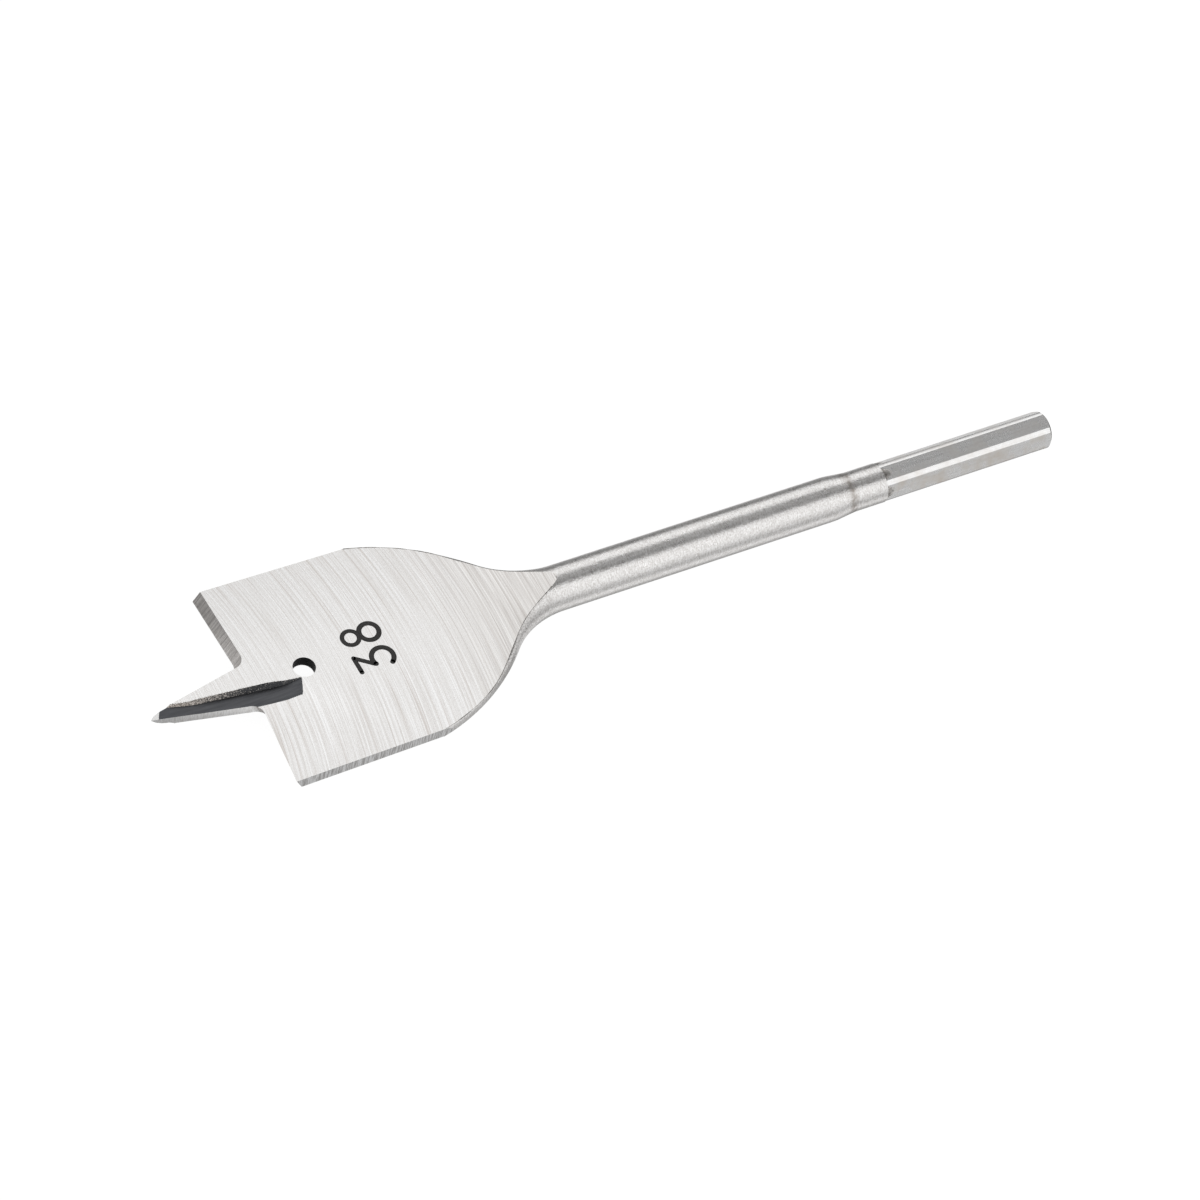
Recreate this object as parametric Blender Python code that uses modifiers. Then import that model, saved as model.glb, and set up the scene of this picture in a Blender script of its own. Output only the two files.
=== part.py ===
"""Spade drill bit for wood, made as one steel forging: a ground flat blade with a centre
spur and two wings, a neck that runs from flat to round, a round shank, a collar and a hex end.

Units are metres. +X runs along the axis and out of the hex end, +Z out of the blade's face.
The origin is the centre of the hex end's face, so the spur's tip is at x = -LENGTH.
Distances called "from the tip" are measured from the tip towards the hex end."""

from math import acos, cos, pi, radians, sin, sqrt, tan

import bmesh
import bpy
from mathutils import Matrix, Vector
from mathutils.geometry import interpolate_bezier

MM = 0.001

# Whole bit
LENGTH = 165.0 * MM
CUTTING_DIAMETER = 38.0 * MM
BLADE_THICKNESS = 2.1 * MM

# Wings: each has a cutting lip, which leads on one face, and a side ground in towards the shank
POINT_LENGTH = 15.8 * MM
LIP_SLOPE = radians(3.5)
LIP_RELIEF = radians(27.6)
SIDE_LENGTH = 26.2 * MM
SIDE_TAPER = radians(0.9)

# Spur: it narrows towards the tip, and its trailing edges narrow more over the nose. Its four
# facets run on past the nose by a share of the nose's length.
SPUR_ROOT_WIDTH = 7.6 * MM
SPUR_TAPER = radians(11.75)
SPUR_RELIEF = radians(4.6)
ROOT_FILLET = 2.0 * MM
NOSE_LENGTH = 3.4 * MM
TIP_SIDE_SLOPE = 0.75
TIP_LEADING_SLOPE = 0.84
TIP_TRAILING_SLOPE = 0.30
TIP_BLUNT = 0.03 * MM
FACETS_PAST_NOSE = 0.6

# Flute pressed into each face along the spur's leading edge: a steep wall down to a crease, and a
# floor that rises from it. Creases are measured across the blade, towards the trailing edge. Behind
# the nose it narrows over a share of its length, and at its end the floor curves up past the face.
FLUTE_LENGTH = 25.0 * MM
FLUTE_RUN_OUT = 5.8 * MM
FLUTE_DEPTH = 0.85 * MM
FLUTE_TIP_DEPTH = 0.37 * MM
FLUTE_WIDTH = 3.25 * MM
FLUTE_WALL_SLOPE = 0.75
FLUTE_CREASE_AT_NOSE = 0.85 * MM
FLUTE_CREASE_AHEAD = 0.15 * MM
FLUTE_CREASE_BEHIND = -1.22 * MM
FLUTE_CREASE_AT_END = -1.65 * MM
FLUTE_END_SLANT = 0.33
FLUTE_NARROWS_OVER = 0.18
FLUTE_NARROW_DEPTH = 0.3
FLUTE_RUN_OUT_CURVE = 1.6
FLUTE_RUN_OUT_NARROWING = 0.12
FLUTE_END_LIFT = 0.05
FLUTE_FLOOR_OVERRUN = 1.3

# Hanging hole through the blade
HOLE_DIAMETER = 3.7 * MM
HOLE_FROM_TIP = 26.1 * MM

# Forged neck: an outline of two arcs, and a section that goes from flat to round
FORGING_ALLOWANCE = 0.34 * MM
SHOULDER_ANGLE = radians(13.2)
SHOULDER_RADIUS = 36.7 * MM
NECK_RADIUS = 15.5 * MM
FORGED_THICKNESS = 3.24 * MM
THICKENING_LENGTH = 12.5 * MM
ROUND_BEFORE_NECK_END = 3.2 * MM

# Ground face: flat over the blade, then rising along the neck to the top of the shank
RISE_LENGTH = 20.2 * MM
RISE_END_BEFORE_NECK_END = 0.7 * MM
RISE_START_HANDLE = 5.65 * MM
RISE_END_HANDLE = 7.1 * MM
RISE_END_SLOPE = 0.14

# Shank, collar and hex end
SHANK_DIAMETER = 7.6 * MM
SHANK_TAPER_LENGTH = 5.4 * MM
COLLAR_DIAMETER = 6.74 * MM
COLLAR_LENGTH = 5.0 * MM
COLLAR_EDGE = 0.08 * MM
HEX_ACROSS_FLATS = 6.2 * MM
HEX_LENGTH = 32.8 * MM
HEX_TURN = radians(10.3)
HEX_RUN_OUT = 1.7 * MM
HEX_CORNER_CLEARANCE = 0.02 * MM
END_CHAMFER = 0.45 * MM

# How finely the round shapes are divided, and how far the cutters stand clear of the steel
ROUND_STEPS = 32
HOLE_STEPS = 24
ARC_STEPS = 12
TAPER_STEPS = 6
FILLET_STEPS = 10
FLUTE_STEPS = 4
FLUTE_FLOOR_STEPS = 4
CLEAR = 2.0 * MM
FACE_CLEAR = 0.5 * MM
CUTTER_HEIGHT = 4 * BLADE_THICKNESS

HALF_THICKNESS = BLADE_THICKNESS / 2
SHANK_RADIUS = SHANK_DIAMETER / 2
COLLAR_RADIUS = COLLAR_DIAMETER / 2
SHOULDER_FROM_TIP = POINT_LENGTH + SIDE_LENGTH
COLLAR_END = LENGTH - HEX_LENGTH
COLLAR_START = COLLAR_END - COLLAR_LENGTH
SHANK_END = COLLAR_START - SHANK_TAPER_LENGTH
SHOULDER_HALF_WIDTH = CUTTING_DIAMETER / 2 - SIDE_LENGTH * tan(SIDE_TAPER) + FORGING_ALLOWANCE


def clear_scene():
    for obj in list(bpy.data.objects):
        bpy.data.objects.remove(obj, do_unlink=True)


def new_collection(name):
    collection = bpy.data.collections.new(name)
    bpy.context.scene.collection.children.link(collection)
    return collection


def new_object(name, mesh, collection):
    """An object whose mesh is measured from the tip, placed so that the hex end's face is at x = 0."""
    obj = bpy.data.objects.new(name, mesh)
    obj.location.x = -LENGTH
    collection.objects.link(obj)
    return obj


def new_cutter(name, mesh):
    obj = new_object(name, mesh, cutters)
    obj.hide_render = True
    obj.display_type = "WIRE"
    return obj


def smooth(step):
    return step * step * (3 - 2 * step)


def loft(name, sections):
    """A closed skin through rings of points, each with as many points as the next, and a face on each end."""
    bm = bmesh.new()
    rings = [[bm.verts.new(point) for point in section] for section in sections]
    for ring, following in zip(rings, rings[1:]):
        for i in range(len(ring)):
            j = (i + 1) % len(ring)
            bm.faces.new((ring[i], ring[j], following[j], following[i]))
    bm.faces.new(rings[0])
    bm.faces.new(rings[-1])
    bmesh.ops.recalc_face_normals(bm, faces=bm.faces)
    mesh = bpy.data.meshes.new(name)
    bm.to_mesh(mesh)
    bm.free()
    return mesh


def plate(name, outline, depth):
    """A flat outline in local XY, thickened by depth to each side."""
    curve = bpy.data.curves.new(name, "CURVE")
    curve.dimensions = "2D"
    curve.fill_mode = "BOTH"
    curve.extrude = depth
    spline = curve.splines.new("POLY")
    spline.points.add(len(outline) - 1)
    for point, (x, y) in zip(spline.points, outline):
        point.co = (x, y, 0, 1)
    spline.use_cyclic_u = True
    drawn = bpy.data.objects.new(name, curve)
    cutters.objects.link(drawn)
    graph = bpy.context.evaluated_depsgraph_get()
    mesh = bpy.data.meshes.new_from_object(drawn.evaluated_get(graph))
    bpy.data.objects.remove(drawn, do_unlink=True)
    bm = bmesh.new()
    bm.from_mesh(mesh)
    bmesh.ops.remove_doubles(bm, verts=bm.verts, dist=0.001 * MM)
    bmesh.ops.recalc_face_normals(bm, faces=bm.faces)
    bm.to_mesh(mesh)
    bm.free()
    return mesh


def boolean(target, cutter, operation):
    modifier = target.modifiers.new(cutter.name, "BOOLEAN")
    modifier.operation = operation
    modifier.solver = "EXACT"
    modifier.object = cutter


def tangent_arc(line_a, line_b, radius, steps):
    """Points of the arc of this radius that touches two lines, each a point and the unit normal
    towards the arc's centre, from the first line to the second."""
    (point_a, normal_a), (point_b, normal_b) = line_a, line_b
    along_a = point_a.dot(normal_a) + radius
    along_b = point_b.dot(normal_b) + radius
    cross = normal_a.x * normal_b.y - normal_a.y * normal_b.x
    centre = Vector((
        (along_a * normal_b.y - along_b * normal_a.y) / cross,
        (along_b * normal_a.x - along_a * normal_b.x) / cross,
    ))
    sweep = normal_a.angle_signed(normal_b)
    points = []
    for i in range(steps + 1):
        turn = Matrix.Rotation(-sweep * i / steps, 2)
        points.append(centre - radius * (turn @ normal_a))
    return points


# Forged blank: blade, neck, shank and collar
def neck_outline():
    """Half-widths of the forged blank as (from the tip, half-width): an arc that bends in at the
    shoulder, then an arc that bends out to run into the shank."""
    drop = SHOULDER_HALF_WIDTH - SHANK_RADIUS
    reach = SHOULDER_RADIUS * cos(SHOULDER_ANGLE) + NECK_RADIUS - drop
    steepest = acos(reach / (SHOULDER_RADIUS + NECK_RADIUS))
    points = []
    for i in range(ARC_STEPS + 1):
        angle = SHOULDER_ANGLE + (steepest - SHOULDER_ANGLE) * i / ARC_STEPS
        along = SHOULDER_FROM_TIP + SHOULDER_RADIUS * (sin(angle) - sin(SHOULDER_ANGLE))
        points.append((along, SHOULDER_HALF_WIDTH - SHOULDER_RADIUS * (cos(SHOULDER_ANGLE) - cos(angle))))
    neck_end = points[-1][0] + NECK_RADIUS * sin(steepest)
    for i in range(1, ARC_STEPS + 1):
        angle = steepest * (1 - i / ARC_STEPS)
        points.append((neck_end - NECK_RADIUS * sin(angle), SHANK_RADIUS + NECK_RADIUS * (1 - cos(angle))))
    return points


def forged_ring(from_tip, half_width, half_thickness):
    """A flat-sided ring with round ends, which is a circle where width and thickness are equal.
    Its facets touch the true round, and one faces each way along Y and Z, so the shank lies on one."""
    straight = half_width - half_thickness
    radius = half_thickness / cos(pi / ROUND_STEPS)
    ring = []
    for i in range(ROUND_STEPS):
        angle = 2 * pi * (i + 0.5) / ROUND_STEPS
        shift = straight if cos(angle) > 0 else -straight
        ring.append(Vector((from_tip, shift + radius * cos(angle), radius * sin(angle))))
    return ring


def forged_blank():
    outline = neck_outline()
    neck_end = outline[-1][0]
    round_from = neck_end - ROUND_BEFORE_NECK_END
    half_forged = FORGED_THICKNESS / 2
    ahead = SHOULDER_FROM_TIP + CLEAR
    rings = [forged_ring(-CLEAR, SHOULDER_HALF_WIDTH + ahead * tan(SHOULDER_ANGLE), half_forged)]
    for from_tip, half_width in outline:
        step = (from_tip - round_from) / THICKENING_LENGTH + 1
        share = smooth(min(max(step, 0), 1))
        rings.append(forged_ring(from_tip, half_width, half_forged + (SHANK_RADIUS - half_forged) * share))
    for i in range(TAPER_STEPS + 1):
        share = i / TAPER_STEPS
        radius = SHANK_RADIUS + (COLLAR_RADIUS - SHANK_RADIUS) * smooth(share)
        rings.append(forged_ring(SHANK_END + SHANK_TAPER_LENGTH * share, radius, radius))
    flat = HEX_ACROSS_FLATS / 2
    run_out_start = COLLAR_RADIUS - COLLAR_EDGE
    slope = (run_out_start - flat) / HEX_RUN_OUT
    past = HEX_RUN_OUT / 2
    for from_tip, radius in (
        (COLLAR_END - COLLAR_EDGE, COLLAR_RADIUS),
        (COLLAR_END, run_out_start),
        (COLLAR_END + HEX_RUN_OUT + past, flat - slope * past),
    ):
        rings.append(forged_ring(from_tip, radius, radius))
    return loft("forged_blank", rings), neck_end


# Ground faces: one outline seen from the side, which both faces of the blade follow
def ground_faces(neck_end):
    rise_end = neck_end - RISE_END_BEFORE_NECK_END
    rise_start = rise_end - RISE_LENGTH
    rise = interpolate_bezier(
        Vector((rise_start, HALF_THICKNESS, 0)),
        Vector((rise_start + RISE_START_HANDLE, HALF_THICKNESS, 0)),
        Vector((rise_end - RISE_END_HANDLE, SHANK_RADIUS - RISE_END_HANDLE * RISE_END_SLOPE, 0)),
        Vector((rise_end, SHANK_RADIUS, 0)),
        2 * ARC_STEPS,
    )
    upper = [(-2 * CLEAR, HALF_THICKNESS)]
    upper += [(point.x, point.y) for point in rise]
    upper.append((rise_end + RISE_END_HANDLE, SHANK_RADIUS + RISE_END_HANDLE * RISE_END_SLOPE))
    upper.append((LENGTH + CLEAR, SHANK_RADIUS + RISE_END_HANDLE * RISE_END_SLOPE))
    lower = [(x, -z) for x, z in reversed(upper)]
    envelope = new_cutter("ground_faces", plate("ground_faces", upper + lower, CUTTING_DIAMETER))
    envelope.rotation_euler.x = pi / 2
    return envelope


# Wing sides: each is ground flat from the lip's corner past the shoulder
def side_grind(hand):
    """hand is 1 for the wing at +Y and -1 for the one at -Y."""
    length = 2 * SHOULDER_FROM_TIP
    width = CUTTING_DIAMETER
    bm = bmesh.new()
    bmesh.ops.create_cube(bm, size=1)
    bmesh.ops.scale(bm, verts=bm.verts, vec=(length, width, CUTTER_HEIGHT))
    bmesh.ops.translate(bm, verts=bm.verts, vec=(0, hand * width / 2, 0))
    turn = Matrix.Rotation(-hand * SIDE_TAPER, 3, "Z")
    bmesh.ops.rotate(bm, verts=bm.verts, matrix=turn)
    bmesh.ops.translate(bm, verts=bm.verts, vec=(POINT_LENGTH, hand * CUTTING_DIAMETER / 2, 0))
    name = "side_grind_right" if hand > 0 else "side_grind_left"
    mesh = bpy.data.meshes.new(name)
    bm.to_mesh(mesh)
    bm.free()
    return new_cutter(name, mesh)


# Lips and spur: what the press and the grinding wheel take away ahead of each lip
def front_outline(back):
    """The outline ahead of the +Y lip, at a height of back above its cutting edge."""
    lip_along = Vector((-tan(LIP_SLOPE), 1)).normalized()
    lip_point = Vector((POINT_LENGTH + back * tan(LIP_RELIEF), CUTTING_DIAMETER / 2))
    lip_normal = Vector((-lip_along.y, lip_along.x))
    side_along = Vector((1, tan(SPUR_TAPER))).normalized()
    side_point = Vector((POINT_LENGTH, SPUR_ROOT_WIDTH / 2 - back * tan(SPUR_RELIEF)))
    side_normal = Vector((-side_along.y, side_along.x))
    root = tangent_arc((side_point, side_normal), (lip_point, lip_normal), ROOT_FILLET, FILLET_STEPS)

    def side_at(from_tip):
        return side_point.y + (from_tip - side_point.x) * tan(SPUR_TAPER)

    nose = Vector((NOSE_LENGTH, side_at(NOSE_LENGTH)))
    trailing = back / BLADE_THICKNESS
    front_y = side_at(-CLEAR) * (1 - trailing) - nose.y * CLEAR / NOSE_LENGTH * trailing
    outside = CUTTING_DIAMETER / 2 + CLEAR
    outer = lip_point + lip_along * (outside - lip_point.y) / lip_along.y
    return [Vector((-CLEAR, front_y)), nose, *root, outer, Vector((-CLEAR, outside))]


def front_clearance(name, turn):
    sections = []
    for back in (-FACE_CLEAR, 0, BLADE_THICKNESS, BLADE_THICKNESS + FACE_CLEAR):
        ring = [Vector((point.x, point.y, back - HALF_THICKNESS)) for point in front_outline(back)]
        sections.append([turn @ point for point in ring])
    return new_cutter(name, loft(name, sections))


# Point: four facets that meet at the tip, on the spur alone
def point_facets():
    """A four-sided point, then a block that leaves the rest of the bit whole."""
    reach = (1 + FACETS_PAST_NOSE) * NOSE_LENGTH
    slopes = (
        (-TIP_SIDE_SLOPE, TIP_LEADING_SLOPE),
        (TIP_SIDE_SLOPE, TIP_TRAILING_SLOPE),
        (TIP_SIDE_SLOPE, -TIP_LEADING_SLOPE),
        (-TIP_SIDE_SLOPE, -TIP_TRAILING_SLOPE),
    )
    corners = ((-1, 1), (1, 1), (1, -1), (-1, -1))
    tip = [Vector((0, TIP_BLUNT * y, TIP_BLUNT * z)) for y, z in corners]
    behind = [Vector((reach, reach * y, reach * z)) for y, z in slopes]
    block = [
        [Vector((x, CUTTING_DIAMETER * y, CUTTING_DIAMETER * z)) for y, z in corners]
        for x in (reach, LENGTH + CLEAR)
    ]
    return new_cutter("point_facets", loft("point_facets", [tip, behind, *block]))


# Flutes: each starts ahead of the tip and runs out into the blade beside the hole
def flute_ring(from_tip, crease, depth, width):
    """One section: up the wall, along the lid, and back down the floor to the crease."""
    lid = HALF_THICKNESS + CLEAR
    bottom = HALF_THICKNESS - depth
    wall_top = Vector((from_tip, crease + FLUTE_WALL_SLOPE * (lid - bottom), lid))
    floor = []
    for i in range(FLUTE_FLOOR_STEPS + 1):
        across = FLUTE_FLOOR_OVERRUN * FLUTE_WIDTH * i / FLUTE_FLOOR_STEPS
        rise = depth * across / width if depth > 0 else 0
        floor.append(Vector((from_tip - FLUTE_END_SLANT * across, crease - across, bottom + rise)))
    lid_end = Vector((floor[-1].x, floor[-1].y, lid))
    return [wall_top, *floor, lid_end]


def flute(name, turn):
    """The crease crosses the axis behind the nose, and the floor rises into the blade's face at the end."""
    deepest = FLUTE_LENGTH - FLUTE_RUN_OUT
    ahead = NOSE_LENGTH + FLUTE_NARROWS_OVER * (deepest - NOSE_LENGTH)
    ahead_depth = FLUTE_TIP_DEPTH + FLUTE_NARROW_DEPTH * (FLUTE_DEPTH - FLUTE_TIP_DEPTH)
    start = FLUTE_CREASE_AT_NOSE + (FLUTE_CREASE_AT_NOSE - FLUTE_CREASE_AHEAD)
    rings = [
        flute_ring(-CLEAR, start, FLUTE_TIP_DEPTH, 2 * FLUTE_WIDTH),
        flute_ring(NOSE_LENGTH, FLUTE_CREASE_AT_NOSE, FLUTE_TIP_DEPTH, 2 * FLUTE_WIDTH),
    ]
    for i in range(FLUTE_STEPS + 1):
        share = i / FLUTE_STEPS
        from_tip = ahead + (deepest - ahead) * share
        crease = FLUTE_CREASE_AHEAD + (FLUTE_CREASE_BEHIND - FLUTE_CREASE_AHEAD) * share
        depth = ahead_depth + (FLUTE_DEPTH - ahead_depth) * sqrt(share)
        rings.append(flute_ring(from_tip, crease, depth, FLUTE_WIDTH))
    for i in range(1, 2 * FLUTE_STEPS + 1):
        share = i / (2 * FLUTE_STEPS)
        crease = FLUTE_CREASE_BEHIND + (FLUTE_CREASE_AT_END - FLUTE_CREASE_BEHIND) * min(2 * share, 1)
        depth = FLUTE_DEPTH * (1 - share ** FLUTE_RUN_OUT_CURVE)
        width = FLUTE_WIDTH * (1 - FLUTE_RUN_OUT_NARROWING * share)
        if i == 2 * FLUTE_STEPS:
            depth = -FLUTE_END_LIFT * FLUTE_DEPTH
        rings.append(flute_ring(deepest + FLUTE_RUN_OUT * share, crease, depth, width))
    sections = [[turn @ point for point in ring] for ring in rings]
    return new_cutter(name, loft(name, sections))


# Hanging hole
def hanging_hole():
    bm = bmesh.new()
    bmesh.ops.create_cone(
        bm,
        cap_ends=True,
        segments=HOLE_STEPS,
        radius1=HOLE_DIAMETER / 2,
        radius2=HOLE_DIAMETER / 2,
        depth=CUTTER_HEIGHT,
    )
    mesh = bpy.data.meshes.new("hanging_hole")
    bm.to_mesh(mesh)
    bm.free()
    hole = new_cutter("hanging_hole", mesh)
    hole.location.x += HOLE_FROM_TIP
    return hole


# Hex end: six flats, whose corners are rounded to the collar's size, and a chamfered end
def hex_bar():
    inside = CLEAR
    length = HEX_LENGTH + inside
    corner = HEX_ACROSS_FLATS / 2 / cos(pi / 6)
    outline = []
    for i in range(6):
        angle = HEX_TURN + i * pi / 3
        outline.append((corner * cos(angle), corner * sin(angle)))
    along_x = Matrix(((0, 0, 1), (1, 0, 0), (0, 1, 0))).to_euler()
    bar = new_cutter("hex_bar", plate("hex_bar", outline, length / 2 + CLEAR))
    bar.rotation_euler = along_x
    bar.location.x = -length / 2

    rounded = COLLAR_RADIUS - HEX_CORNER_CLEARANCE
    profile = (
        (0, 0),
        (rounded - END_CHAMFER, 0),
        (rounded, -END_CHAMFER),
        (rounded, -length),
        (0, -length),
    )
    bm = bmesh.new()
    points = [bm.verts.new((radius, 0, along)) for radius, along in profile]
    for first, second in zip(points, points[1:]):
        bm.edges.new((first, second))
    mesh = bpy.data.meshes.new("hex_rounding")
    bm.to_mesh(mesh)
    bm.free()
    rounding = new_cutter("hex_rounding", mesh)
    rounding.rotation_euler = along_x
    rounding.location.x = 0
    screw = rounding.modifiers.new("turn", "SCREW")
    screw.axis = "Z"
    screw.steps = ROUND_STEPS
    screw.render_steps = ROUND_STEPS
    screw.use_merge_vertices = True
    screw.merge_threshold = 0.001 * MM
    boolean(bar, rounding, "INTERSECT")
    return bar


def tool_steel():
    material = bpy.data.materials.new("ground_tool_steel")
    material.use_nodes = True
    shader = material.node_tree.nodes["Principled BSDF"]
    shader.inputs["Base Color"].default_value = (0.62, 0.61, 0.60, 1)
    shader.inputs["Metallic"].default_value = 1.0
    shader.inputs["Roughness"].default_value = 0.35
    material.diffuse_color = (0.62, 0.61, 0.60, 1)
    return material


clear_scene()
parts = new_collection("spade_drill_bit")
cutters = new_collection("cutters")
cutters.hide_render = True

blank, neck_end = forged_blank()
blank.materials.append(tool_steel())
blank.shade_smooth()
blank.set_sharp_from_angle(angle=radians(30))
bit = new_object("spade_bit", blank, parts)

half_turn = Matrix.Rotation(pi, 3, "X")
no_turn = Matrix.Identity(3)
boolean(bit, ground_faces(neck_end), "INTERSECT")
boolean(bit, side_grind(1), "DIFFERENCE")
boolean(bit, side_grind(-1), "DIFFERENCE")
boolean(bit, front_clearance("front_right", no_turn), "DIFFERENCE")
boolean(bit, front_clearance("front_left", half_turn), "DIFFERENCE")
boolean(bit, point_facets(), "INTERSECT")
boolean(bit, flute("flute_upper", no_turn), "DIFFERENCE")
boolean(bit, flute("flute_lower", half_turn), "DIFFERENCE")
boolean(bit, hanging_hole(), "DIFFERENCE")
boolean(bit, hex_bar(), "UNION")
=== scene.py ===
"""Spade drill bit for wood, lying on a pale floor in soft studio light.

Units are metres. +X runs along the axis and out of the hex end, +Z out of the blade's upper face,
and the hex end's face is at x = 0. Distances called "from the tip" run from the tip to the hex end."""

from math import acos, cos, pi, radians, sin, sqrt, tan

import bmesh
import bpy
from mathutils import Matrix, Vector
from mathutils.geometry import interpolate_bezier


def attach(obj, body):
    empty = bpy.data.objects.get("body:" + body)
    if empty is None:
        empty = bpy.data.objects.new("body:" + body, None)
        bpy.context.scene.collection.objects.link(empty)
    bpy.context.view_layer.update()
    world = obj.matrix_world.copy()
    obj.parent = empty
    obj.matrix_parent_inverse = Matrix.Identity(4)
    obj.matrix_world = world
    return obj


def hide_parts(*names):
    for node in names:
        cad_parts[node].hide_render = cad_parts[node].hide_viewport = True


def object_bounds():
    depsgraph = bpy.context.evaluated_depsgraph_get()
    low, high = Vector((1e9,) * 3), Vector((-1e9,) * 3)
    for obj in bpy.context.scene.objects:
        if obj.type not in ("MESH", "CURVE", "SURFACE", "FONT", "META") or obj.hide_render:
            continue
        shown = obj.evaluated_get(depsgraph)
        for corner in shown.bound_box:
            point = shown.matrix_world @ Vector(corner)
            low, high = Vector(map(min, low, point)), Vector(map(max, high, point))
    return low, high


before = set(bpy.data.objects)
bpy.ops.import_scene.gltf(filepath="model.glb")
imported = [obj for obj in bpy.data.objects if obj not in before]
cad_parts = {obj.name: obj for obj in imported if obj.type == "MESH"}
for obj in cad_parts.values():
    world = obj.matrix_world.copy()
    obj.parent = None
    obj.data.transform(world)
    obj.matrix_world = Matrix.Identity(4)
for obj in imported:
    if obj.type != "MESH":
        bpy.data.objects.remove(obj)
cad_low, cad_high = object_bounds()


# The forged blank
# One bar of tool steel, hammered flat at one end in closed dies and left round as a shank behind
# it. Its scale is blasted off with grit, which leaves a satin, slightly pitted skin.
MM = 0.001
LENGTH = 165.0 * MM
CUTTING_DIAMETER = 38.0 * MM
POINT_LENGTH = 15.8 * MM
SIDE_LENGTH = 26.2 * MM
SIDE_TAPER = radians(0.9)
FORGING_ALLOWANCE = 0.34 * MM
SHOULDER_ANGLE = radians(13.2)
SHOULDER_RADIUS = 36.7 * MM
NECK_RADIUS = 15.5 * MM
FORGED_THICKNESS = 3.24 * MM
THICKENING_LENGTH = 12.5 * MM
ROUND_BEFORE_NECK_END = 3.2 * MM
SHANK_RADIUS = 3.8 * MM
SHANK_TAPER_LENGTH = 5.4 * MM
COLLAR_RADIUS = 3.37 * MM
COLLAR_LENGTH = 5.0 * MM
COLLAR_EDGE = 0.08 * MM
SCALE_RING_FROM_TIP = 125.6 * MM
NECK_WAIST_FROM_TIP = 60.0 * MM
HEX_ACROSS_FLATS = 6.2 * MM
HEX_LENGTH = 32.8 * MM
HEX_RUN_OUT = 1.7 * MM
CLEAR = 2.0 * MM
FACE_CLEAR = 0.5 * MM
ROUND_STEPS = 160
ARC_STEPS = 60
TAPER_STEPS = 24
SHOULDER_FROM_TIP = POINT_LENGTH + SIDE_LENGTH
COLLAR_END = LENGTH - HEX_LENGTH
COLLAR_START = COLLAR_END - COLLAR_LENGTH
SHANK_END = COLLAR_START - SHANK_TAPER_LENGTH
SHOULDER_HALF_WIDTH = CUTTING_DIAMETER / 2 - SIDE_LENGTH * tan(SIDE_TAPER) + FORGING_ALLOWANCE


def colour(hexadecimal):
    """An sRGB colour such as "E1DFDD" as linear red, green, blue and alpha."""
    channels = [int(hexadecimal[i : i + 2], 16) / 255 for i in (0, 2, 4)]
    linear = [c / 12.92 if c <= 0.04045 else ((c + 0.055) / 1.055) ** 2.4 for c in channels]
    return (*linear, 1.0)


def feed(tree, node, inputs):
    """Sets a node's inputs, given as values or as the sockets that feed them."""
    for name, value in inputs.items():
        if isinstance(value, bpy.types.NodeSocket):
            tree.links.new(value, node.inputs[name])
        else:
            node.inputs[name].default_value = value


def add_node(tree, kind, inputs=None, **settings):
    """A new node with its settings and inputs."""
    made = tree.nodes.new(kind)
    for name, value in settings.items():
        setattr(made, name, value)
    feed(tree, made, inputs or {})
    return made


def computed(tree, operation, *values):
    """A sum, product or other result of up to three values or sockets."""
    return add_node(tree, "ShaderNodeMath", dict(enumerate(values)), operation=operation).outputs[0]


def ranged(tree, value, low, high, to_low=0.0, to_high=1.0, ease="LINEAR"):
    """How far a value lies from low to high, held to that range and told from to_low to to_high."""
    return add_node(tree, "ShaderNodeMapRange", {
        "Value": value, "From Min": low, "From Max": high, "To Min": to_low, "To Max": to_high,
    }, interpolation_type=ease).outputs["Result"]


def mixed(tree, factor, first, second):
    """The first colour, or the second as far as the factor goes towards 1."""
    inputs = {"Factor": factor, 6: first, 7: second}
    return add_node(tree, "ShaderNodeMix", inputs, data_type="RGBA").outputs[2]


def axis(tree, vector, name):
    """One of a vector's three parts."""
    return add_node(tree, "ShaderNodeSeparateXYZ", {"Vector": vector}).outputs[name]


def noise(tree, place, width, detail, roughness=0.5):
    """Noise with forms about this wide, and finer forms for each step of detail."""
    return add_node(tree, "ShaderNodeTexNoise", {
        "Vector": place, "Scale": 1 / width, "Detail": detail, "Roughness": roughness,
    }).outputs["Fac"]


def stretched_noise(tree, place, sizes, detail, roughness=0.5, turn=0.0):
    """Noise with forms about as long as these sizes along X, Y and Z, turned about X."""
    drawn = add_node(tree, "ShaderNodeMapping", {
        "Vector": place, "Rotation": (turn, 0.0, 0.0), "Scale": tuple(1 / size for size in sizes),
    })
    return noise(tree, drawn.outputs[0], 1.0, detail, roughness)


def bump(tree, height, strength, depth):
    """Relief that only the light sees, this deep where the height goes from 0 to 1."""
    inputs = {"Height": height, "Strength": strength, "Distance": depth}
    return add_node(tree, "ShaderNodeBump", inputs).outputs["Normal"]


def new_metal(name):
    """A material whose shader is bare metal, with the node that gives places on the piece."""
    material = bpy.data.materials.new(name)
    material.use_nodes = True
    tree = material.node_tree
    shader = tree.nodes["Principled BSDF"]
    shader.inputs["Metallic"].default_value = 1.0
    place = add_node(tree, "ShaderNodeTexCoord").outputs["Object"]
    return material, tree, shader, place


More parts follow.
